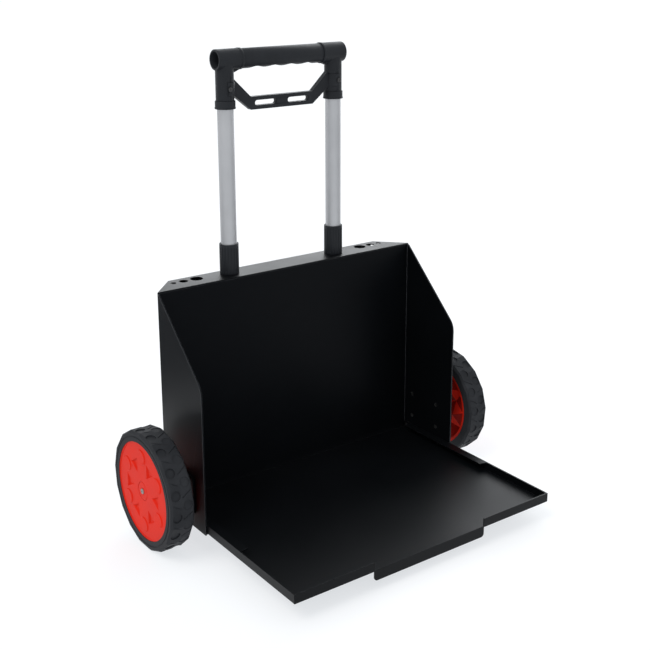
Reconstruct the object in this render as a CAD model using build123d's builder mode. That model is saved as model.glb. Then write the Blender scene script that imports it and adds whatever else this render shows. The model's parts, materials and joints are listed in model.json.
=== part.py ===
from build123d import *
import os
from math import cos, radians

# Folding tool-case trolley: a sheet steel shell on two wheels, a platform that folds up
# between the shell's cheeks, and a handle on two telescopic tubes.
# Millimetres. X runs along the axles, -Y is the front, +Z is up and z = 0 is the floor.
# The origin is below the middle of the whole object.

# ---------------------------------------------------------------- driving dimensions
# Shell
shell_width = 480.0          # over the outsides of the cheeks
shell_top = 371.0            # top face of the tool ledge
sheet = 2.0                  # thickness of all folded sheet steel
cheek_depth = 120.0          # back panel's front face to the cheeks' front edges
slope_drop = 115.0           # from the top to where the sloped edge would meet the front edge
cheek_corner_radius = 28.0   # rounding between the sloped edge and the front edge
ledge_corner = 42.0          # length along X of the ledge's cut corners
ledge_weld_height = 18.0     # flange that welds the ledge to the back panel
ledge_flange_height = 16.0   # flange turned down along the ledge's rear edge
ledge_flange_inset = 6.0     # its ends, inside the cut corners
support_width = 18.0         # inward flanges that the platform rests on
support_start = 26.0         # from the back panel to where those flanges begin
bend_radius = 2.5            # outside radius of the shell's bends
edge_rounding = 1.5          # outside radius of the ledge's and the platform's bends

# Tool holes in the ledge, each side: distance in from the cheek's outside, radius
tool_holes = ((82.5, 10.0), (60.0, 7.0), (42.5, 4.5))
tool_hole_behind = 29.5      # centres of the holes behind the back panel's front face

# Platform
platform_reach = 345.0       # back panel's front face to the platform's front face
platform_top = 33.0          # height of the load surface
lip_height = 12.0            # upstand above the load surface
tab_half_width = 103.0       # the front tab that is bent down
tab_drop = 17.0              # from the load surface to the tab's lower edge
tab_corner_radius = 5.0
return_width = 12.0          # inward flange along the top of each side lip
return_start = 20.0          # where it begins, ahead of the back panel
return_end = 212.0           # where it ends
return_cut = 3.0             # slant of its front end
foot_from_front = 90.0       # feet, behind the platform's front face
foot_from_side = 60.0        # feet, in from the cheeks' outsides
foot_radius = 11.0
foot_top_radius = 9.0
foot_stud_radius = 3.0
foot_stud_length = 19.0

# Platform hinge
hinge_ahead = 8.0            # pin axis, ahead of the back panel
hinge_pin_radius = 3.0
hinge_head_overhang = 2.0
hinge_head_thickness = 2.0
hinge_clip_overhang = 2.0
hinge_clip_thickness = 1.5
hinge_tail = 1.0             # pin beyond the clip

# Axles and wheels
axle_ahead = 48.0            # axle, ahead of the back panel
wheel_radius = 90.0          # axle to the flats of the tread
wheel_width = 38.0
wheel_gap = 26.0             # cheek's outside to the tyre's inner face
tread_blocks = 17
tread_shoulder = 3.0         # chamfer where the tread meets the sidewalls
tread_groove_width = 1.6
tread_groove_depth = 0.9
tread_groove_length = 17.0
tread_groove_angle = 32.0    # grooves from the axle's direction
tread_dimple_radius = 7.5
tread_dimple_depth = 2.0
tread_row_offset = 8.5       # each row of dimples from the middle of the tread
sidewall_ring_depth = 0.8
sidewall_ring_width = 2.0
tyre_depth = 15.0            # hub's outside to the flats of the tread
hub_rim = 5.0                # thickness of the hub's barrel
hub_rim_inset = 1.0          # rim edges inside the tyre's faces
hub_face_inset = 1.6         # hub's outer face inside the tyre's outer face
hub_web_inset = 12.0         # hub's web inside the tyre's inner face
hub_boss_radius = 18.0
hub_lobes = 6
hub_lobe_from_rim = 21.0     # hub's outside to the middles of the raised discs
hub_lobe_radius = 12.0
hub_lobe_height = 1.2
hub_lobe_taper = 50.0
hub_pocket_from_rim = 33.0   # hub's outside to the middles of the three-sided pockets
hub_pocket_radius = 13.0
hub_pocket_depth = 2.4
hub_pocket_taper = 45.0
hub_back_pocket_margin = 5.0  # left between a back pocket and the rim or the boss
hub_back_pocket_slope = 0.75  # depth of a back pocket over its radius
hub_back_pocket_taper = 25.0
axle_radius = 6.0
axle_bush_wall = 3.0
axle_bush_flange = 1.5
axle_bush_flange_overhang = 4.0
axle_washer_overhang = 5.0
axle_washer_thickness = 2.2
axle_cap_overhang = 8.0
axle_cap_thickness = 2.5
axle_cap_chamfer = 0.8
axle_bolt_radius = 3.0
axle_bolt_length = 20.0
axle_bolt_head_overhang = 1.2
axle_bolt_head_height = 1.6
axle_bolt_head_rounding = 1.0
axle_bolt_drive_radius = 1.7
axle_bolt_drive_depth = 1.0

# Axle brackets, riveted to the outsides of the cheeks
bracket_thickness = 3.0
bracket_length = 82.0
bracket_height = 62.0
bracket_corner_radius = 8.0
bracket_boss_wall = 7.0
bracket_below_axle = 9.0     # middle of the bracket, below the axle
bracket_ahead_of_axle = 3.0  # middle of the bracket, ahead of the axle
rivet_spacing_y = 62.0
rivet_spacing_z = 40.0
rivet_radius = 2.0
rivet_head_overhang = 1.2
rivet_tail_overhang = 1.5
rivet_tail_height = 1.6
countersink_angle = 90

# Telescopic tubes, behind the back panel
tube_x = 100.0               # tube axes, to each side of the middle plane
tube_behind = 27.0           # tube axes, behind the back panel's front face
tube_radius = 12.5
tube_wall = 1.5
guide_play = 1.5             # tube to the bore of its guide, filled by the bushes
guide_wall = 1.0
ledge_flange_gap = 1.0       # guide tube to the ledge's rear flange
guide_bottom = 62.0
collar_height = 47.6         # guide collar above the ledge
collar_spigot = 20.0         # guide collar inside the guide tube
collar_mouth_play = 1.0
collar_mouth_depth = 3.0
collar_grooves = 20
collar_groove_depth = 0.5
collar_groove_width = 1.4
collar_band = 5.0            # plain bands above and below the grooves
slide_bush_length = 30.0
tube_plug_length = 12.0
tube_plug_flange = 2.0
foot_plate_height = 26.0     # lower bracket's weld flange
foot_plate_margin = 24.0     # lower bracket beyond the tube axes
drain_hole_radius = 5.0
saddle_drop = 161.0          # from the top to the saddles' lower edges
saddle_width = 22.0
saddle_sheet = 1.5
saddle_foot = 14.0           # each welded foot of a saddle

# Handle. Heights below the cross bar's axis are given as drops.
bar_height = 700.0           # axis of the cross bar
mouth_reach = 2.5            # sleeves' open ends beyond the legs' sides
grip_gap = 27.0              # grip's ends to the tube axes
sleeve_wall = 3.7            # over the cross tube
sleeve_band_step = 0.5
sleeve_band_width = 4.0
sleeve_mouth_play = 0.6
sleeve_mouth_depth = 20.0
sleeve_mouth_rounding = 1.5
tee_web_start = 3.0          # web under the sleeve, from the sleeve's inner end
tee_web_drop = 10.0          # web at the tube's axis, below the sleeve
tee_web_thickness = 8.0
leg_wall = 1.5
leg_drop = 73.0
leg_ring_height = 12.0
leg_ring_wall = 1.5
leg_flange_height = 2.0
leg_flange_wall = 2.0
tube_top_drop = 18.0
cross_tube_radius = 12.0
cross_tube_wall = 2.0
grip_wall = 3.1
finger_count = 4
finger_pitch = 30.0
finger_depth = 2.8
finger_crest = 0.4           # crests between fingers, inside the grip's outside
finger_fade = 1.0            # how far the wave's ends run out below the grip
brace_thickness = 10.0
brace_drop = 78.0            # to the brace's lower edge
brace_bar_height = 20.0
brace_half_length = 57.0
brace_arm_low_drop = 55.0    # to where an arm's lower edge meets its leg
brace_arm_high_drop = 30.0   # to where an arm's upper edge meets its leg
slot_length = 40.0
slot_height = 8.0
slot_x = 30.0
ear_height = 20.0
ear_thickness = 1.2
ear_start = 165.0            # angle where an ear begins, from +X round the tube
ear_sweep = 118.0
screw_drop = 43.0
screw_radius = 1.8
screw_head_overhang = 1.6
screw_head_height = 1.8
screw_length = 9.0
screw_drive_radius = 1.5
screw_drive_width = 0.5
screw_drive_depth = 1.0

# Clearances
side_clearance = 0.6         # platform to each cheek
rear_clearance = 1.0         # platform to the back panel
rest_gap = 0.3               # faces of different moving bodies that lie against each other
running_gap = 0.05           # radial, shafts and tubes in their bores
hinge_head_gap = 1.0         # least height from a hinge pin's head to the axle bracket
boss_gap = 1.3               # bracket's boss, washer and bush flange inside the tyre's inner face
strap_gap = 0.1              # saddle straps round the guide tubes

# ---------------------------------------------------------------- derived places
guide_bore = tube_radius + guide_play
guide_radius = guide_bore + guide_wall
ledge_depth = tube_behind + guide_radius + ledge_flange_gap + sheet
back_y = (platform_reach - ledge_depth) / 2
half_width = shell_width / 2
inner_half = half_width - sheet
panel_top = shell_top - sheet
slope_foot = shell_top - slope_drop
front_y = back_y - cheek_depth
platform_front = back_y - platform_reach
platform_rear = back_y - rear_clearance
platform_half = inner_half - side_clearance
platform_under = platform_top - sheet
lip_top = platform_top + lip_height
support_top = platform_under - rest_gap
shell_bottom = support_top - sheet
foot_x = half_width - foot_from_side
foot_y = platform_front + foot_from_front
hinge_y = back_y - hinge_ahead
hinge_z = platform_top + lip_height / 2
axle_y = back_y - axle_ahead
axle_z = wheel_radius
tyre_inner = half_width + wheel_gap
tyre_outer = tyre_inner + wheel_width
tyre_middle = tyre_inner + wheel_width / 2
hub_radius = wheel_radius - tyre_depth
hub_face = tyre_outer - hub_face_inset
tube_y = back_y + tube_behind
collar_top = shell_top + collar_height
spigot_bottom = shell_top - collar_spigot
slide_bush_top = spigot_bottom - rest_gap
tube_bottom = slide_bush_top - slide_bush_length
saddle_height = shell_top - saddle_drop
bracket_y = axle_y - bracket_ahead_of_axle
hinge_head_radius = hinge_pin_radius + hinge_head_overhang
bracket_lowest = hinge_z + hinge_head_radius + bracket_height / 2 + hinge_head_gap
bracket_z = max(axle_z - bracket_below_axle, bracket_lowest)
bracket_outer = half_width + bracket_thickness
bracket_boss_radius = axle_radius + bracket_boss_wall
rivet_head_radius = rivet_radius + rivet_head_overhang
rivet_tail_radius = rivet_radius + rivet_tail_overhang
axle_end = hub_face - axle_cap_thickness
axle_cap_radius = axle_radius + axle_cap_overhang
axle_bush_radius = axle_radius + axle_bush_wall
boss_end = tyre_inner - axle_washer_thickness - axle_bush_flange - boss_gap
washer_end = boss_end + axle_washer_thickness
bush_start = washer_end + rest_gap
bush_end = axle_end - rest_gap
grip_half_length = tube_x - grip_gap
sleeve_radius = cross_tube_radius + sleeve_wall
grip_radius = cross_tube_radius + grip_wall
leg_radius = tube_radius + leg_wall
bar_half_length = tube_x + leg_radius + mouth_reach
leg_bottom = bar_height - leg_drop
tube_top = bar_height - tube_top_drop
brace_bottom = bar_height - brace_drop
screw_height = bar_height - screw_drop

os.makedirs("parts", exist_ok=True)


def save(builder, name):
    """Label a finished piece and write it to its own file."""
    builder.part.label = name
    export_step(builder.part, f"parts/{name}.step")


def save_pair(right, name):
    """Write a right-hand piece and its mirror image."""
    save(right, f"{name}_right")
    with BuildPart() as left:
        mirror(right.part, about=Plane.YZ)
    save(left, f"{name}_left")


def across(x, y, z):
    """A plane at a point, facing outwards along +X, with Y and Z as its own axes."""
    return Plane(origin=(x, y, z), x_dir=(0, 1, 0), z_dir=(1, 0, 0))


def inwards(x, y, z):
    """A plane at a point, facing inwards along -X."""
    return Plane(origin=(x, y, z), x_dir=(0, -1, 0), z_dir=(-1, 0, 0))


def round_bar(radius, start, end, y, z, mode=Mode.ADD):
    """A round bar along X between two places."""
    with Locations(across(start, y, z)):
        Cylinder(radius, end - start, align=(Align.CENTER, Align.CENTER, Align.MIN), mode=mode)


def upright(radius, bottom, top, x, y, mode=Mode.ADD):
    """A round bar along Z between two heights."""
    with Locations((x, y, bottom)):
        Cylinder(radius, top - bottom, align=(Align.CENTER, Align.CENTER, Align.MIN), mode=mode)


# ---------------------------------------------------------------- shell
rivet_points = [
    (bracket_y + across_sign * rivet_spacing_y / 2, bracket_z + up_sign * rivet_spacing_z / 2)
    for across_sign in (-1, 1)
    for up_sign in (-1, 1)
]
slope_rise = slope_drop / cheek_depth
cheek_head_y = back_y - sheet / slope_rise

with BuildPart() as body_shell:
    with BuildSketch(Plane.YZ.offset(inner_half)) as cheek_outline:
        Polygon(
            (back_y + sheet, shell_bottom),
            (front_y, shell_bottom),
            (front_y, slope_foot),
            (cheek_head_y, panel_top),
            (back_y + sheet, panel_top),
            align=None,
        )
        slope_corner = cheek_outline.vertices().sort_by_distance((front_y, slope_foot, 0))[0]
        fillet(slope_corner, cheek_corner_radius)
    extrude(amount=sheet)
    with BuildSketch(Plane.XY.offset(shell_bottom)):
        with Locations((half_width, front_y + sheet)):
            Rectangle(
                support_width + sheet,
                cheek_depth - support_start - sheet,
                align=(Align.MAX, Align.MIN),
            )
    extrude(amount=sheet)
    with Locations(*[inwards(inner_half, y, z) for y, z in rivet_points]):
        CounterSinkHole(rivet_radius, rivet_head_radius, sheet, countersink_angle)
    round_bar(hinge_pin_radius, inner_half, half_width, hinge_y, hinge_z, Mode.SUBTRACT)
    mirror(about=Plane.YZ)
    with BuildSketch(Plane.XY.offset(shell_bottom)):
        with Locations((0, back_y)):
            Rectangle(shell_width, sheet, align=(Align.CENTER, Align.MIN))
    extrude(amount=panel_top - shell_bottom)
    rear_corners = body_shell.edges().filter_by(Axis.Z).group_by(Axis.Y)[-1]
    fillet(rear_corners, bend_radius)
save(body_shell, "body_shell")

# The ledge lies on the back panel's top edge. Its weld flange stands behind the panel, and
# a second flange is turned down along its rear edge.
ledge_rear = back_y + ledge_depth
ledge_rear_half = half_width - ledge_corner
with BuildPart() as tool_ledge:
    with BuildSketch(Plane.XY.offset(panel_top)):
        Polygon(
            (-half_width, back_y),
            (half_width, back_y),
            (ledge_rear_half, ledge_rear),
            (-ledge_rear_half, ledge_rear),
            align=None,
        )
    extrude(amount=sheet)
    with BuildSketch(Plane.XY.offset(panel_top - ledge_weld_height)):
        with Locations((0, back_y + sheet)):
            Rectangle(2 * inner_half - ledge_corner, sheet, align=(Align.CENTER, Align.MIN))
    extrude(amount=ledge_weld_height)
    with BuildSketch(Plane.XY.offset(shell_top - ledge_flange_height)):
        with Locations((0, ledge_rear)):
            Rectangle(
                2 * (ledge_rear_half - ledge_flange_inset), sheet, align=(Align.CENTER, Align.MAX)
            )
    extrude(amount=ledge_flange_height)
    for hole_inset, hole_radius in tool_holes:
        for sign in (-1, 1):
            hole_x = sign * (half_width - hole_inset)
            hole_y = back_y + tool_hole_behind
            upright(hole_radius, panel_top, shell_top, hole_x, hole_y, Mode.SUBTRACT)
    for sign in (-1, 1):
        upright(guide_radius, panel_top, shell_top, sign * tube_x, tube_y, Mode.SUBTRACT)
    front_edge = tool_ledge.edges().filter_by(Axis.X).group_by(Axis.Y)[0].group_by(Axis.Z)[-1]
    fillet(front_edge, edge_rounding)
save(tool_ledge, "tool_ledge")

# ---------------------------------------------------------------- guides behind the panel
with BuildPart() as lower_bracket:
    with BuildSketch(Plane.YZ) as bracket_section:
        with BuildLine():
            Polyline(
                (back_y + sheet, guide_bottom - sheet),
                (ledge_rear, guide_bottom - sheet),
                (ledge_rear, guide_bottom),
                (back_y + 2 * sheet, guide_bottom),
                (back_y + 2 * sheet, guide_bottom + foot_plate_height),
                (back_y + sheet, guide_bottom + foot_plate_height),
                close=True,
            )
        make_face()
    extrude(amount=tube_x + foot_plate_margin, both=True)
    for sign in (-1, 1):
        upright(drain_hole_radius, guide_bottom - sheet, guide_bottom, sign * tube_x, tube_y, Mode.SUBTRACT)
save(lower_bracket, "lower_bracket")

strap_radius = guide_radius + strap_gap
strap_outer = strap_radius + saddle_sheet
with BuildPart() as tube_saddle:
    with BuildSketch(Plane.XY.offset(saddle_height)):
        with Locations((tube_x, tube_y)):
            Circle(strap_outer)
        with Locations((tube_x, tube_y)):
            Rectangle(2 * strap_outer, tube_behind - sheet, align=(Align.CENTER, Align.MAX))
        with Locations((tube_x, back_y + sheet)):
            Rectangle(2 * (strap_outer + saddle_foot), saddle_sheet, align=(Align.CENTER, Align.MIN))
        with Locations((tube_x, tube_y)):
            Circle(strap_radius, mode=Mode.SUBTRACT)
            Rectangle(
                2 * strap_radius, tube_behind, align=(Align.CENTER, Align.MAX), mode=Mode.SUBTRACT
            )
    extrude(amount=saddle_width)
save_pair(tube_saddle, "tube_saddle")

with BuildPart() as guide_tube:
    upright(guide_radius, guide_bottom, shell_top, tube_x, tube_y)
    upright(guide_bore, guide_bottom, shell_top, tube_x, tube_y, Mode.SUBTRACT)
save_pair(guide_tube, "guide_tube")

with BuildPart() as guide_collar:
    upright(guide_bore, spigot_bottom, shell_top, tube_x, tube_y)
    upright(guide_radius, shell_top, collar_top, tube_x, tube_y)
    upright(tube_radius + running_gap, spigot_bottom, collar_top, tube_x, tube_y, Mode.SUBTRACT)
    mouth_bottom = collar_top - collar_mouth_depth
    mouth_radius = tube_radius + collar_mouth_play
    upright(mouth_radius, mouth_bottom, collar_top, tube_x, tube_y, Mode.SUBTRACT)
    with Locations((tube_x, tube_y, shell_top + collar_band)):
        with PolarLocations(guide_radius, collar_grooves):
            Box(
                2 * collar_groove_depth,
                collar_groove_width,
                collar_height - 2 * collar_band,
                align=(Align.CENTER, Align.CENTER, Align.MIN),
                mode=Mode.SUBTRACT,
            )
save_pair(guide_collar, "guide_collar")

# ---------------------------------------------------------------- axle brackets and axles
with BuildPart() as axle_bracket:
    with BuildSketch(across(half_width, bracket_y, bracket_z)):
        RectangleRounded(bracket_length, bracket_height, bracket_corner_radius)
    extrude(amount=bracket_thickness)
    round_bar(bracket_boss_radius, bracket_outer, boss_end, axle_y, axle_z)
    round_bar(axle_radius, half_width, boss_end, axle_y, axle_z, Mode.SUBTRACT)
    for point_y, point_z in rivet_points:
        round_bar(rivet_radius, half_width, bracket_outer, point_y, point_z, Mode.SUBTRACT)
save_pair(axle_bracket, "axle_bracket")

with BuildPart() as stub_axle:
    round_bar(axle_radius, half_width, axle_end, axle_y, axle_z)
    round_bar(axle_bolt_radius, axle_end - axle_bolt_length, axle_end, axle_y, axle_z, Mode.SUBTRACT)
save_pair(stub_axle, "stub_axle")

axle_washer_radius = axle_radius + axle_washer_overhang
with BuildPart() as axle_washer:
    round_bar(axle_washer_radius, boss_end, washer_end, axle_y, axle_z)
    round_bar(axle_radius, boss_end, washer_end, axle_y, axle_z, Mode.SUBTRACT)
save_pair(axle_washer, "axle_washer")

with BuildPart() as axle_cap:
    round_bar(axle_cap_radius, axle_end, hub_face, axle_y, axle_z)
    round_bar(axle_bolt_radius, axle_end, hub_face, axle_y, axle_z, Mode.SUBTRACT)
    cap_edge = axle_cap.faces().sort_by(Axis.X)[-1].outer_wire().edges()
    chamfer(cap_edge, axle_cap_chamfer)
save_pair(axle_cap, "axle_cap")

axle_bolt_head_radius = axle_bolt_radius + axle_bolt_head_overhang
with BuildPart() as axle_bolt:
    round_bar(axle_bolt_radius, axle_end - axle_bolt_length, hub_face, axle_y, axle_z)
    round_bar(axle_bolt_head_radius, hub_face, hub_face + axle_bolt_head_height, axle_y, axle_z)
    head_edge = axle_bolt.faces().sort_by(Axis.X)[-1].outer_wire().edges()
    fillet(head_edge, axle_bolt_head_rounding)
    with BuildSketch(across(hub_face + axle_bolt_head_height, axle_y, axle_z)):
        RegularPolygon(axle_bolt_drive_radius, 6)
    extrude(amount=-axle_bolt_drive_depth, mode=Mode.SUBTRACT)
save_pair(axle_bolt, "axle_bolt")

# Countersunk rivets, flush inside the cheeks so that the platform can swing past them.
with BuildPart() as cheek_rivets:
    for point_y, point_z in rivet_points:
        round_bar(rivet_radius, inner_half, bracket_outer, point_y, point_z)
        with Locations(across(inner_half, point_y, point_z)):
            Cone(
                rivet_head_radius,
                rivet_radius,
                rivet_head_overhang,
                align=(Align.CENTER, Align.CENTER, Align.MIN),
            )
        round_bar(rivet_tail_radius, bracket_outer, bracket_outer + rivet_tail_height, point_y, point_z)
    mirror(about=Plane.YZ)
save(cheek_rivets, "cheek_rivets")

# ---------------------------------------------------------------- wheels
# One flat of the tread lies on the floor. Grooves and dimples stand on the flats of one row
# and on the corners of the other.
block_angle = 360 / tread_blocks
flat_start = 270
corner_start = flat_start + block_angle / 2
corner_ring = wheel_radius / cos(radians(block_angle / 2))
tread_rows = (
    (1, corner_start, corner_ring, flat_start, wheel_radius),
    (-1, flat_start, wheel_radius, corner_start, corner_ring),
)
with BuildPart() as tyre:
    with BuildSketch(across(tyre_inner, axle_y, axle_z)):
        RegularPolygon(wheel_radius, tread_blocks, major_radius=False, rotation=corner_start)
        Circle(hub_radius, mode=Mode.SUBTRACT)
    extrude(amount=wheel_width)
    for side_face in (tyre.faces().sort_by(Axis.X)[0], tyre.faces().sort_by(Axis.X)[-1]):
        chamfer(side_face.outer_wire().edges(), tread_shoulder)
    for row_sign, groove_start, groove_ring, dimple_start, dimple_ring in tread_rows:
        row_x = tyre_middle + row_sign * tread_row_offset
        with Locations(across(row_x, axle_y, axle_z)):
            with PolarLocations(groove_ring, tread_blocks, start_angle=groove_start):
                Box(
                    2 * tread_groove_depth,
                    tread_groove_width,
                    tread_groove_length,
                    rotation=(row_sign * tread_groove_angle, 0, 0),
                    mode=Mode.SUBTRACT,
                )
            with PolarLocations(dimple_ring, tread_blocks, start_angle=dimple_start):
                Cylinder(
                    tread_dimple_radius,
                    2 * tread_dimple_depth,
                    rotation=(0, 90, 0),
                    mode=Mode.SUBTRACT,
                )
    ring_radius = (hub_radius + wheel_radius) / 2
    with BuildSketch(across(tyre_outer, axle_y, axle_z)):
        Circle(ring_radius + sidewall_ring_width / 2)
        Circle(ring_radius - sidewall_ring_width / 2, mode=Mode.SUBTRACT)
    extrude(amount=-sidewall_ring_depth, mode=Mode.SUBTRACT)
save_pair(tyre, "tyre")

hub_web = tyre_inner + hub_web_inset
hub_bore = hub_radius - hub_rim
hub_back_ring = (hub_bore + hub_boss_radius) / 2
hub_back_radius = (hub_bore - hub_boss_radius) / 2 - hub_back_pocket_margin
with BuildPart() as hub:
    round_bar(hub_radius, tyre_inner + hub_rim_inset, tyre_outer - hub_rim_inset, axle_y, axle_z)
    round_bar(hub_bore, tyre_inner + hub_rim_inset, hub_web, axle_y, axle_z, Mode.SUBTRACT)
    round_bar(
        hub_radius - hub_rim / 2, hub_face, tyre_outer - hub_rim_inset, axle_y, axle_z, Mode.SUBTRACT
    )
    round_bar(hub_boss_radius, bush_start + axle_bush_flange, hub_web, axle_y, axle_z)
    with BuildSketch(across(hub_web, axle_y, axle_z)):
        with PolarLocations(hub_back_ring, hub_lobes):
            RegularPolygon(hub_back_radius, 3)
    extrude(
        amount=hub_back_radius * hub_back_pocket_slope,
        taper=hub_back_pocket_taper,
        mode=Mode.SUBTRACT,
    )
    with BuildSketch(across(hub_face, axle_y, axle_z)):
        with PolarLocations(hub_radius - hub_pocket_from_rim, hub_lobes):
            RegularPolygon(hub_pocket_radius, 3, rotation=180)
    extrude(amount=-hub_pocket_depth, taper=hub_pocket_taper, mode=Mode.SUBTRACT)
    with BuildSketch(across(hub_face, axle_y, axle_z)):
        with PolarLocations(hub_radius - hub_lobe_from_rim, hub_lobes, start_angle=180 / hub_lobes):
            Circle(hub_lobe_radius)
    extrude(amount=hub_lobe_height, taper=hub_lobe_taper)
    round_bar(axle_cap_radius + rest_gap, bush_end, hub_face, axle_y, axle_z, Mode.SUBTRACT)
    round_bar(axle_bush_radius, bush_start, hub_face, axle_y, axle_z, Mode.SUBTRACT)
save_pair(hub, "hub")

bush_flange_radius = axle_bush_radius + axle_bush_flange_overhang
with BuildPart() as wheel_bush:
    round_bar(axle_bush_radius, bush_start, bush_end, axle_y, axle_z)
    round_bar(bush_flange_radius, bush_start, bush_start + axle_bush_flange, axle_y, axle_z)
    round_bar(axle_radius + running_gap, bush_start, bush_end, axle_y, axle_z, Mode.SUBTRACT)
save_pair(wheel_bush, "wheel_bush")

# ---------------------------------------------------------------- platform
lip_rear_radius = lip_height / 2
with BuildPart() as platform_tray:
    with BuildSketch(Plane.YZ.offset(platform_half - sheet)) as lip_outline:
        Polygon(
            (platform_rear, platform_under),
            (platform_front, platform_under),
            (platform_front, lip_top),
            (platform_rear, lip_top),
            align=None,
        )
        lip_corner = lip_outline.vertices().sort_by_distance((platform_rear, lip_top, 0))[0]
        fillet(lip_corner, lip_rear_radius)
    extrude(amount=sheet)
    return_inner = platform_half - sheet - return_width
    with BuildSketch(Plane.XY.offset(lip_top - sheet)):
        Polygon(
            (platform_half - sheet, back_y - return_start),
            (return_inner, back_y - return_start),
            (return_inner, back_y - return_end + return_cut),
            (platform_half - sheet, back_y - return_end),
            align=None,
        )
    extrude(amount=sheet)
    with BuildSketch(Plane.XY.offset(platform_under)):
        with Locations((0, platform_front)):
            Rectangle(platform_half, platform_rear - platform_front, align=(Align.MIN, Align.MIN))
    extrude(amount=sheet)
    with BuildSketch(Plane.XY.offset(platform_under)):
        with Locations((tab_half_width, platform_front)):
            Rectangle(platform_half - tab_half_width, sheet, align=(Align.MIN, Align.MIN))
    extrude(amount=lip_top - platform_under)
    with BuildSketch(Plane.XZ.offset(-platform_front)) as tab_outline:
        with Locations((0, platform_top)):
            Rectangle(tab_half_width, tab_drop, align=(Align.MIN, Align.MAX))
        tab_foot = (tab_half_width, platform_top - tab_drop, 0)
        fillet(tab_outline.vertices().sort_by_distance(tab_foot)[0], tab_corner_radius)
    extrude(amount=-sheet)
    round_bar(
        hinge_pin_radius + running_gap,
        platform_half - sheet,
        platform_half,
        hinge_y,
        hinge_z,
        Mode.SUBTRACT,
    )
    mirror(about=Plane.YZ)
    side_bends = platform_tray.edges().filter_by(Axis.Y).filter_by(
        lambda edge: abs(edge.center().X) > platform_half - sheet / 2
        and edge.center().Z < platform_top
    )
    fillet(side_bends, edge_rounding)
save(platform_tray, "platform_tray")

foot_bore_bottom = platform_under - foot_stud_length
with BuildPart() as platform_foot:
    with Locations((foot_x, foot_y, 0)):
        Cone(
            foot_radius,
            foot_top_radius,
            platform_under,
            align=(Align.CENTER, Align.CENTER, Align.MIN),
        )
    upright(foot_stud_radius, foot_bore_bottom, platform_under, foot_x, foot_y, Mode.SUBTRACT)
save_pair(platform_foot, "platform_foot")

with BuildPart() as foot_studs:
    for sign in (-1, 1):
        upright(foot_stud_radius, foot_bore_bottom, platform_under, sign * foot_x, foot_y)
save(foot_studs, "foot_studs")

clip_end = platform_half - sheet - rest_gap
clip_start = clip_end - hinge_clip_thickness
hinge_clip_radius = hinge_pin_radius + hinge_clip_overhang
with BuildPart() as hinge_pin:
    round_bar(hinge_pin_radius, clip_start - hinge_tail, half_width, hinge_y, hinge_z)
    round_bar(hinge_head_radius, half_width, half_width + hinge_head_thickness, hinge_y, hinge_z)
save_pair(hinge_pin, "hinge_pin")

with BuildPart() as hinge_clip:
    round_bar(hinge_clip_radius, clip_start, clip_end, hinge_y, hinge_z)
    round_bar(hinge_pin_radius, clip_start, clip_end, hinge_y, hinge_z, Mode.SUBTRACT)
save_pair(hinge_clip, "hinge_clip")

# ---------------------------------------------------------------- handle
tube_bore = tube_radius - tube_wall
front_face = Plane(origin=(tube_x, tube_y, screw_height), x_dir=(1, 0, 0), z_dir=(0, -1, 0))

with BuildPart() as handle_tube:
    upright(tube_radius, tube_bottom, tube_top, tube_x, tube_y)
    upright(tube_bore, tube_bottom, tube_top, tube_x, tube_y, Mode.SUBTRACT)
    with Locations(front_face):
        Cylinder(
            screw_radius,
            tube_radius,
            align=(Align.CENTER, Align.CENTER, Align.MIN),
            mode=Mode.SUBTRACT,
        )
save_pair(handle_tube, "handle_tube")

with BuildPart() as slide_bush:
    upright(guide_bore - running_gap, tube_bottom, slide_bush_top, tube_x, tube_y)
    upright(tube_radius, tube_bottom, slide_bush_top, tube_x, tube_y, Mode.SUBTRACT)
save_pair(slide_bush, "slide_bush")

with BuildPart() as tube_plug:
    upright(tube_bore, tube_bottom, tube_bottom + tube_plug_length, tube_x, tube_y)
    upright(tube_radius, tube_bottom - tube_plug_flange, tube_bottom, tube_x, tube_y)
save_pair(tube_plug, "tube_plug")

cross_tube_half = bar_half_length - sleeve_mouth_depth
sleeve_mouth_radius = cross_tube_radius + sleeve_mouth_play
band_end = grip_half_length + sleeve_band_width
sleeve_under = bar_height - sleeve_radius
with BuildPart() as handle_tee:
    upright(leg_radius, leg_bottom, bar_height, tube_x, tube_y)
    round_bar(sleeve_radius, grip_half_length, bar_half_length, tube_y, bar_height)
    round_bar(sleeve_radius + sleeve_band_step, grip_half_length, band_end, tube_y, bar_height)
    with BuildSketch(Plane.XZ.offset(-tube_y)):
        Polygon(
            (grip_half_length + tee_web_start, bar_height),
            (grip_half_length + tee_web_start, sleeve_under),
            (tube_x, sleeve_under - tee_web_drop),
            (tube_x, bar_height),
            align=None,
        )
    extrude(amount=tee_web_thickness / 2, both=True)
    round_bar(
        cross_tube_radius, grip_half_length, cross_tube_half, tube_y, bar_height, Mode.SUBTRACT
    )
    round_bar(
        sleeve_mouth_radius, cross_tube_half, bar_half_length, tube_y, bar_height, Mode.SUBTRACT
    )
    upright(tube_radius, leg_bottom, tube_top, tube_x, tube_y, Mode.SUBTRACT)
    with Locations(front_face):
        Cylinder(
            screw_radius,
            leg_radius + ear_thickness,
            align=(Align.CENTER, Align.CENTER, Align.MIN),
            mode=Mode.SUBTRACT,
        )
    mouth_edges = handle_tee.faces().sort_by(Axis.X)[-1].outer_wire().edges()
    fillet(mouth_edges, sleeve_mouth_rounding)
save_pair(handle_tee, "handle_tee")

leg_ring_radius = leg_radius + leg_ring_wall
leg_flange_radius = leg_radius + leg_flange_wall
with BuildPart() as leg_ring:
    upright(leg_ring_radius, leg_bottom, leg_bottom + leg_ring_height, tube_x, tube_y)
    upright(leg_flange_radius, leg_bottom, leg_bottom + leg_flange_height, tube_x, tube_y)
    upright(leg_radius, leg_bottom, leg_bottom + leg_ring_height, tube_x, tube_y, Mode.SUBTRACT)
save_pair(leg_ring, "leg_ring")

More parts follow.
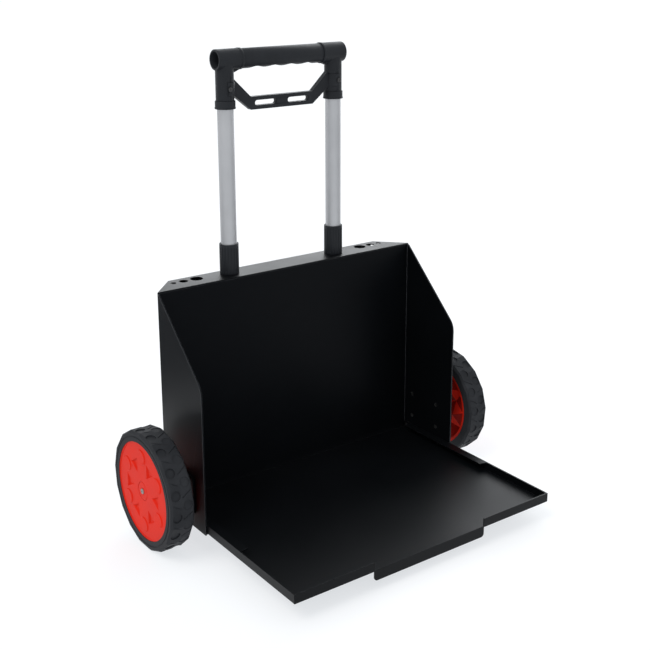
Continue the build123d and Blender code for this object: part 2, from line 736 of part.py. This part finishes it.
with BuildPart() as cross_tube:
    round_bar(cross_tube_radius, -cross_tube_half, cross_tube_half, tube_y, bar_height)
    round_bar(
        cross_tube_radius - cross_tube_wall,
        -cross_tube_half,
        cross_tube_half,
        tube_y,
        bar_height,
        Mode.SUBTRACT,
    )
save(cross_tube, "cross_tube")

# The grip's underside is cut to a smooth wave: crests on the odd points, fingers between.
grip_under = bar_height - grip_radius
wave_half = finger_count * finger_pitch / 2
wave_points = [(-wave_half, grip_under - finger_fade)]
for finger in range(finger_count):
    finger_x = (finger + 0.5) * finger_pitch - wave_half
    wave_points.append((finger_x, grip_under + finger_depth))
    if finger < finger_count - 1:
        wave_points.append((finger_x + finger_pitch / 2, grip_under + finger_crest))
wave_points.append((wave_half, grip_under - finger_fade))
wave_floor = grip_under - grip_radius
with BuildPart() as grip:
    round_bar(grip_radius, -grip_half_length, grip_half_length, tube_y, bar_height)
    with BuildSketch(Plane.XZ.offset(-tube_y)):
        with BuildLine():
            Spline(*wave_points)
            Polyline(
                (wave_half, grip_under - finger_fade),
                (wave_half, wave_floor),
                (-wave_half, wave_floor),
                (-wave_half, grip_under - finger_fade),
            )
        make_face()
    extrude(amount=grip_radius, both=True, mode=Mode.SUBTRACT)
    round_bar(
        cross_tube_radius, -grip_half_length, grip_half_length, tube_y, bar_height, Mode.SUBTRACT
    )
save(grip, "grip")

leg_inner_x = tube_x - leg_radius
arm_run = leg_inner_x - brace_half_length
arm_rise = (brace_drop - brace_arm_low_drop) / arm_run
bar_top = brace_bottom + brace_bar_height
arm_top_rise = (bar_height - brace_arm_high_drop - bar_top) / arm_run
ear_radius = leg_radius + ear_thickness
with BuildPart() as brace:
    with BuildSketch(Plane.XZ.offset(-tube_y)):
        with BuildLine():
            Polyline(
                (0, brace_bottom),
                (brace_half_length, brace_bottom),
                (tube_x, brace_bottom + arm_rise * (tube_x - brace_half_length)),
                (tube_x, bar_top + arm_top_rise * (tube_x - brace_half_length)),
                (brace_half_length, bar_top),
                (0, bar_top),
                close=True,
            )
        make_face()
    extrude(amount=brace_thickness / 2, both=True)
    with BuildSketch(Plane.XY.offset(screw_height - ear_height / 2)) as ear:
        with BuildLine():
            ear_arc = CenterArc((tube_x, tube_y), ear_radius, ear_start, ear_sweep)
            Line(ear_arc @ 1, (tube_x, tube_y))
            Line((tube_x, tube_y), ear_arc @ 0)
        make_face()
    extrude(amount=ear_height)
    upright(leg_radius, brace_bottom, bar_height, tube_x, tube_y, Mode.SUBTRACT)
    with Locations(front_face):
        Cylinder(
            screw_radius,
            ear_radius,
            align=(Align.CENTER, Align.CENTER, Align.MIN),
            mode=Mode.SUBTRACT,
        )
    with BuildSketch(Plane.XZ.offset(brace_thickness / 2 - tube_y)):
        with Locations((slot_x, brace_bottom + brace_bar_height / 2)):
            SlotOverall(slot_length, slot_height)
    extrude(amount=-brace_thickness, mode=Mode.SUBTRACT)
    mirror(about=Plane.YZ)
save(brace, "brace")

screw_head_radius = screw_radius + screw_head_overhang
with BuildPart() as brace_screws:
    for sign in (-1, 1):
        head_plane = Plane(
            origin=(sign * tube_x, tube_y - ear_radius, screw_height),
            x_dir=(1, 0, 0),
            z_dir=(0, -1, 0),
        )
        with Locations(head_plane):
            Cylinder(screw_radius, screw_length, align=(Align.CENTER, Align.CENTER, Align.MAX))
            Cylinder(
                screw_head_radius,
                screw_head_height,
                align=(Align.CENTER, Align.CENTER, Align.MIN),
            )
        with Locations(head_plane.offset(screw_head_height)):
            Box(
                2 * screw_drive_radius,
                screw_drive_width,
                screw_drive_depth,
                align=(Align.CENTER, Align.CENTER, Align.MAX),
                mode=Mode.SUBTRACT,
            )
            Box(
                screw_drive_width,
                2 * screw_drive_radius,
                screw_drive_depth,
                align=(Align.CENTER, Align.CENTER, Align.MAX),
                mode=Mode.SUBTRACT,
            )
save(brace_screws, "brace_screws")
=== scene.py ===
import json
import math

import bpy
from mathutils import Matrix, Vector


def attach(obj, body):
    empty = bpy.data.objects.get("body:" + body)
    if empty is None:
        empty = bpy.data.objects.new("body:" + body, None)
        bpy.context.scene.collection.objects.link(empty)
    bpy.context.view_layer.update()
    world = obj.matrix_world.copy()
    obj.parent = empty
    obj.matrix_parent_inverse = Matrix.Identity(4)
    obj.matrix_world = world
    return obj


# The folding tool case trolley's looks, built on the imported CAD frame.
# Metres, Z up, -Y is the front.

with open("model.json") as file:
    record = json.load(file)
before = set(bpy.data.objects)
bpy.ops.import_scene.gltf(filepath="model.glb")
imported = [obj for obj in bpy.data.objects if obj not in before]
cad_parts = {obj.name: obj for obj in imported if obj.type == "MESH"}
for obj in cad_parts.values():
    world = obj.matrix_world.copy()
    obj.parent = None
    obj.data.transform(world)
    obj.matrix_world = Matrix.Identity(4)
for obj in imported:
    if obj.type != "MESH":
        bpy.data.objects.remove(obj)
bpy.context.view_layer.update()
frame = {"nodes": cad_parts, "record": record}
NODES = frame["nodes"]

MM = 0.001


# ---------------------------------------------------------------- node helpers
def new_material(name):
    """A material with only a Principled shader and its output, and what is needed to add to it."""
    material = bpy.data.materials.new(name)
    material.use_nodes = True
    tree = material.node_tree
    shader = tree.nodes["Principled BSDF"]
    return material, tree, shader


def place(tree, stretch=(1, 1, 1)):
    """The piece's own coordinates in metres, stretched along each axis."""
    coords = tree.nodes.new("ShaderNodeTexCoord")
    mapping = tree.nodes.new("ShaderNodeMapping")
    mapping.inputs["Scale"].default_value = stretch
    tree.links.new(coords.outputs["Object"], mapping.inputs["Vector"])
    return mapping.outputs["Vector"]


def noise(tree, vector, scale, detail=3.0, roughness=0.55):
    node = tree.nodes.new("ShaderNodeTexNoise")
    node.inputs["Scale"].default_value = scale
    node.inputs["Detail"].default_value = detail
    node.inputs["Roughness"].default_value = roughness
    tree.links.new(vector, node.inputs["Vector"])
    return node.outputs["Fac"]


def cells(tree, vector, scale):
    node = tree.nodes.new("ShaderNodeTexVoronoi")
    node.inputs["Scale"].default_value = scale
    tree.links.new(vector, node.inputs["Vector"])
    return node.outputs["Distance"]


def ramp(tree, factor, low, high, start=0.3, end=0.7):
    """A blend from one colour or grey to another as the factor goes from start to end."""
    node = tree.nodes.new("ShaderNodeValToRGB")
    node.color_ramp.elements[0].position = start
    node.color_ramp.elements[1].position = end
    for element, value in zip(node.color_ramp.elements, (low, high)):
        element.color = (*value, 1) if isinstance(value, tuple) else (value, value, value, 1)
    tree.links.new(factor, node.inputs["Fac"])
    return node.outputs["Color"]


def bump(tree, heights, shader):
    """Bumps one on the other, each (height, depth in metres), into the shader's normal."""
    normal = None
    for height, depth in heights:
        node = tree.nodes.new("ShaderNodeBump")
        node.inputs["Strength"].default_value = 1.0
        node.inputs["Distance"].default_value = depth
        tree.links.new(height, node.inputs["Height"])
        if normal is not None:
            tree.links.new(normal, node.inputs["Normal"])
        normal = node.outputs["Normal"]
    tree.links.new(normal, shader.inputs["Normal"])


# ---------------------------------------------------------------- materials
def powder_coat(name, dark, light, specular, tint):
    """Near-black satin powder coat: fine orange peel, faint mottling in its gloss."""
    material, tree, shader = new_material(name)
    vector = place(tree)
    peel = noise(tree, vector, 900, 2.0)
    fine = noise(tree, vector, 2600, 2.0)
    patches = noise(tree, vector, 9, 3.0)
    tree.links.new(ramp(tree, patches, dark, light), shader.inputs["Base Color"])
    tree.links.new(ramp(tree, patches, 0.40, 0.46), shader.inputs["Roughness"])
    shader.inputs["Specular IOR Level"].default_value = specular
    shader.inputs["Specular Tint"].default_value = (*tint, 1)
    bump(tree, [(peel, 0.000015), (fine, 0.000006)], shader)
    return material


def moulded_plastic(name, dark, light, gloss_low, gloss_high, specular):
    """Injection-moulded plastic with a fine spark-eroded grain."""
    material, tree, shader = new_material(name)
    vector = place(tree)
    grain = cells(tree, vector, 1500)
    fine = noise(tree, vector, 3200, 2.0)
    patches = noise(tree, vector, 30, 3.0)
    tree.links.new(ramp(tree, patches, dark, light), shader.inputs["Base Color"])
    tree.links.new(ramp(tree, patches, gloss_low, gloss_high), shader.inputs["Roughness"])
    shader.inputs["Specular IOR Level"].default_value = specular
    bump(tree, [(grain, 0.00003), (fine, 0.00001)], shader)
    return material


def tube_aluminium():
    """Satin anodised tube with drawing lines along its length."""
    material, tree, shader = new_material("tube_aluminium")
    lines = noise(tree, place(tree, (1, 1, 0.01)), 1400, 3.0)
    patches = noise(tree, place(tree), 14, 2.0)
    tree.links.new(
        ramp(tree, patches, (0.43, 0.435, 0.45), (0.48, 0.485, 0.50)), shader.inputs["Base Color"]
    )
    tree.links.new(ramp(tree, lines, 0.48, 0.53), shader.inputs["Roughness"])
    shader.inputs["Metallic"].default_value = 1.0
    bump(tree, [(lines, 0.0000015)], shader)
    return material


def plated_steel(name, dark, light, gloss_low, gloss_high):
    """Zinc plated or blackened steel with turning marks and faint blotches."""
    material, tree, shader = new_material(name)
    blotches = noise(tree, place(tree), 220, 3.0)
    marks = noise(tree, place(tree, (1, 0.05, 0.05)), 2500, 2.0)
    tree.links.new(ramp(tree, blotches, dark, light), shader.inputs["Base Color"])
    tree.links.new(ramp(tree, blotches, gloss_low, gloss_high), shader.inputs["Roughness"])
    shader.inputs["Metallic"].default_value = 1.0
    bump(tree, [(marks, 0.000008)], shader)
    return material


def tyre_rubber():
    """Dark rubber: matt, slightly dusty on the tread, with a fine pebble."""
    material, tree, shader = new_material("tyre_rubber")
    vector = place(tree)
    pebble = cells(tree, vector, 1100)
    fine = noise(tree, vector, 2800, 2.0)
    dust = noise(tree, vector, 45, 4.0)
    tree.links.new(
        ramp(tree, dust, (0.0162, 0.0176, 0.0206), (0.0256, 0.0273, 0.0312)),
        shader.inputs["Base Color"],
    )
    tree.links.new(ramp(tree, dust, 0.52, 0.68), shader.inputs["Roughness"])
    shader.inputs["Specular IOR Level"].default_value = 0.12
    bump(tree, [(pebble, 0.00004), (fine, 0.00002)], shader)
    return material


# Painted edge highlight: a light grey base on the powder coat's bevel faces, so edges show as bright
# lines; only its stronger gloss is a real shine.
PAINTED_EDGE_HIGHLIGHT = powder_coat(
    "powder_coat_painted_edge_highlight", (0.080, 0.084, 0.092), (0.100, 0.104, 0.113), 0.5, (0.5, 0.52, 0.55)
)
MATERIALS = {
    "powder_coat": powder_coat(
        "powder_coat", (0.0020, 0.0024, 0.0030), (0.0028, 0.0033, 0.0040), 0.5, (0.025, 0.03, 0.042)
    ),
    "black_plastic": moulded_plastic(
        "black_plastic", (0.0136, 0.0151, 0.0180), (0.0176, 0.0195, 0.0230), 0.40, 0.50, 0.14
    ),
    "red_plastic": moulded_plastic(
        "red_plastic", (0.59, 0.014, 0.004), (0.65, 0.019, 0.006), 0.36, 0.46, 0.06
    ),
    # A lighter and a darker copy of the red plastic: painted light and shade for the hub facets.
    "red_painted_lit": moulded_plastic(
        "red_painted_lit", (0.78, 0.022, 0.010), (0.86, 0.030, 0.014), 0.48, 0.54, 0.03
    ),
    "red_painted_shade": moulded_plastic(
        "red_painted_shade", (0.30, 0.007, 0.004), (0.35, 0.010, 0.006), 0.48, 0.54, 0.03
    ),
    "nylon": moulded_plastic("nylon", (0.62, 0.60, 0.55), (0.72, 0.70, 0.65), 0.4, 0.5, 0.4),
    "foot_rubber": tyre_rubber(),
    "tyre": tyre_rubber(),
    "tube_aluminium": tube_aluminium(),
    "zinc_steel": plated_steel("zinc_steel", (0.26, 0.26, 0.25), (0.36, 0.36, 0.35), 0.28, 0.4),
    "black_steel": plated_steel("black_steel", (0.05, 0.05, 0.052), (0.08, 0.08, 0.083), 0.3, 0.4),
}


def finish_nodes():
    """Each CAD node gets the material of its slot in the record."""
    for row in frame["record"]["subparts"]:
        node = NODES[row["node"]]
        material = MATERIALS[row["material_slot"]]
        node.data.materials.clear()
        node.data.materials.append(material)
        # Powder-coated nodes get a second slot, the painted edge highlight, for their bevel faces.
        if row["material_slot"] == "powder_coat":
            node.data.materials.append(PAINTED_EDGE_HIGHLIGHT)


# ---------------------------------------------------------------- softened edges
def soften(names, width, painted_highlight_slot=-1, angle=30):
    """Rounds the sharp edges of CAD nodes with a narrow bevel, as pressed or moulded edges are; the
    bevel faces can take a given material slot, which for the powder coat carries a painted edge
    highlight.
    """
    for name in names:
        node = NODES[name]
        weld = node.modifiers.new("weld", "WELD")
        weld.merge_threshold = 0.00001
        bevel = node.modifiers.new("bevel", "BEVEL")
        bevel.width = width
        bevel.segments = 2
        bevel.limit_method = "ANGLE"
        bevel.angle_limit = math.radians(angle)
        bevel.harden_normals = True
        bevel.material = painted_highlight_slot
        bevel.use_clamp_overlap = True


def pair(*names):
    return [f"{name}_{side}" for name in names for side in ("left", "right")]


# ---------------------------------------------------------------- wheels
def hub_facets(side, sign):
    """Low three-sided facets on the inner face of a hub, from its boss out to its barrel; alternate
    facets get a lighter and a darker copy of the red, painted light and shade.
    """
    web, axle_y, axle_z = 278.0, 102.0, 90.0
    rings = ((19.0, (0.5, 0.5)), (45.0, (9.5, 1.0)), (69.5, (0.5, 9.5)))
    count = 12
    points = []
    for index, (radius, heights) in enumerate(rings):
        for step in range(count):
            angle = 2 * math.pi * (step + index / 2) / count
            across = sign * (web - heights[step % 2])
            y = axle_y + radius * math.cos(angle)
            z = axle_z + radius * math.sin(angle)
            points.append((across * MM, y * MM, z * MM))
    faces = []
    for index in range(len(rings) - 1):
        inner, outer = index * count, (index + 1) * count
        for step in range(count):
            after = (step + 1) % count
            faces.append((inner + step, inner + after, outer + step)[::int(sign)])
            faces.append((outer + step, inner + after, outer + after)[::int(sign)])
    mesh = bpy.data.meshes.new(f"hub_facets_{side}")
    mesh.from_pydata(points, [], faces)
    mesh.materials.append(MATERIALS["red_painted_lit"])
    mesh.materials.append(MATERIALS["red_painted_shade"])
    # Alternate facets take the lighter and the darker red: painted light and shade.
    for index, face in enumerate(mesh.polygons):
        face.material_index = index % 2
    piece = bpy.data.objects.new(f"hub_facets_{side}", mesh)
    bpy.context.scene.collection.objects.link(piece)
    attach(piece, f"wheel_{side}")


# ---------------------------------------------------------------- stage
def board(name, start, end, heights, colour, glow):
    """An upright board out of the camera's sight: it shows in gloss, and a glow makes it a light."""
    low, high = heights
    mesh = bpy.data.meshes.new(name)
    corners = [(*start, low), (*end, low), (*end, high), (*start, high)]
    mesh.from_pydata(corners, [], [(0, 1, 2, 3)])
    piece = bpy.data.objects.new(name, mesh)
    piece.visible_camera = False
    piece.visible_shadow = False
    piece.visible_diffuse = glow > 0
    bpy.context.scene.collection.objects.link(piece)
    material, _, shader = new_material(name)
    shader.inputs["Base Color"].default_value = (*colour, 1)
    shader.inputs["Emission Color"].default_value = (*colour, 1)
    shader.inputs["Emission Strength"].default_value = glow
    mesh.materials.append(material)


def studio():
    """A pale floor and soft light from above, a little from the left."""
    mesh = bpy.data.meshes.new("floor")
    reach = 30.0
    corners = [(-reach, -reach, 0), (reach, -reach, 0), (reach, reach, 0), (-reach, reach, 0)]
    mesh.from_pydata(corners, [], [(0, 1, 2, 3)])
    floor = bpy.data.objects.new("floor", mesh)
    bpy.context.scene.collection.objects.link(floor)
    material, _, shader = new_material("floor")
    shader.inputs["Base Color"].default_value = (0.29, 0.29, 0.29, 1)
    shader.inputs["Roughness"].default_value = 0.9
    shader.inputs["Specular IOR Level"].default_value = 0.1
    shader.inputs["Emission Color"].default_value = (0.942, 0.968, 1.0, 1)
    shader.inputs["Emission Strength"].default_value = 0.71
    mesh.materials.append(material)

    unlit, softbox_glow = 0.0, 1.85
    board("right_card", (0.80, -1.25), (1.60, -0.15), (0.02, 0.28), (0.04, 0.045, 0.055), unlit)
    board("left_card", (-1.00, 0.25), (-0.30, 0.60), (0.01, 0.27), (0.10, 0.11, 0.13), unlit)
    board("softbox", (0.40, 1.60), (1.90, 0.50), (0.45, 2.50), (0.96, 0.98, 1.0), softbox_glow)

    world = bpy.data.worlds.new("studio")
    bpy.context.scene.world = world
    world.use_nodes = True
    sky = world.node_tree.nodes["Background"]
    sky.inputs["Color"].default_value = (0.955, 0.98, 1.0, 1)
    sky.inputs["Strength"].default_value = 0.90

    light = bpy.data.lights.new("key", "SUN")
    light.energy = 1.15
    light.angle = math.radians(30)
    light.color = (1.0, 0.96, 0.91)
    lamp = bpy.data.objects.new("key", light)
    lamp.rotation_euler = Vector((0.55, 0.03, -0.84)).to_track_quat("-Z", "Y").to_euler()
    bpy.context.scene.collection.objects.link(lamp)
    bpy.context.scene.view_settings.view_transform = "Standard"


def camera():
    """Seen from the front left, a little above the handle."""
    yaw, pitch, roll = math.radians(35.90), math.radians(15.17), math.radians(0.18)
    ahead = Vector(
        (math.sin(yaw) * math.cos(pitch), math.cos(yaw) * math.cos(pitch), -math.sin(pitch))
    )
    level = Vector((math.cos(yaw), -math.sin(yaw), 0))
    down = ahead.cross(level)
    right = level * math.cos(roll) + down * math.sin(roll)
    up = level * math.sin(roll) - down * math.cos(roll)
    turn = Matrix((right, up, -ahead)).transposed().to_4x4()
    lens = bpy.data.cameras.new("camera")
    lens.lens = 61.71
    lens.sensor_width = 36
    lens.shift_y = -0.1177
    eye = bpy.data.objects.new("camera", lens)
    eye.matrix_world = Matrix.Translation((-0.95598, -1.25900, 0.86101)) @ turn
    bpy.context.scene.collection.objects.link(eye)
    bpy.context.scene.camera = eye


finish_nodes()
hub_facets("left", -1)
hub_facets("right", 1)
# The bevel faces of these take slot 1, the painted edge highlight.
soften(["body_shell", "tool_ledge", "platform_tray"], 0.0008, painted_highlight_slot=1)
soften(pair("guide_collar", "handle_tee", "leg_ring") + ["brace", "grip"], 0.0005)
soften(pair("hub", "axle_cap", "axle_bracket", "platform_foot"), 0.0006)
soften(pair("tyre"), 0.0008)
soften(pair("axle_bolt", "stub_axle", "tube_saddle"), 0.0003)
studio()
camera()
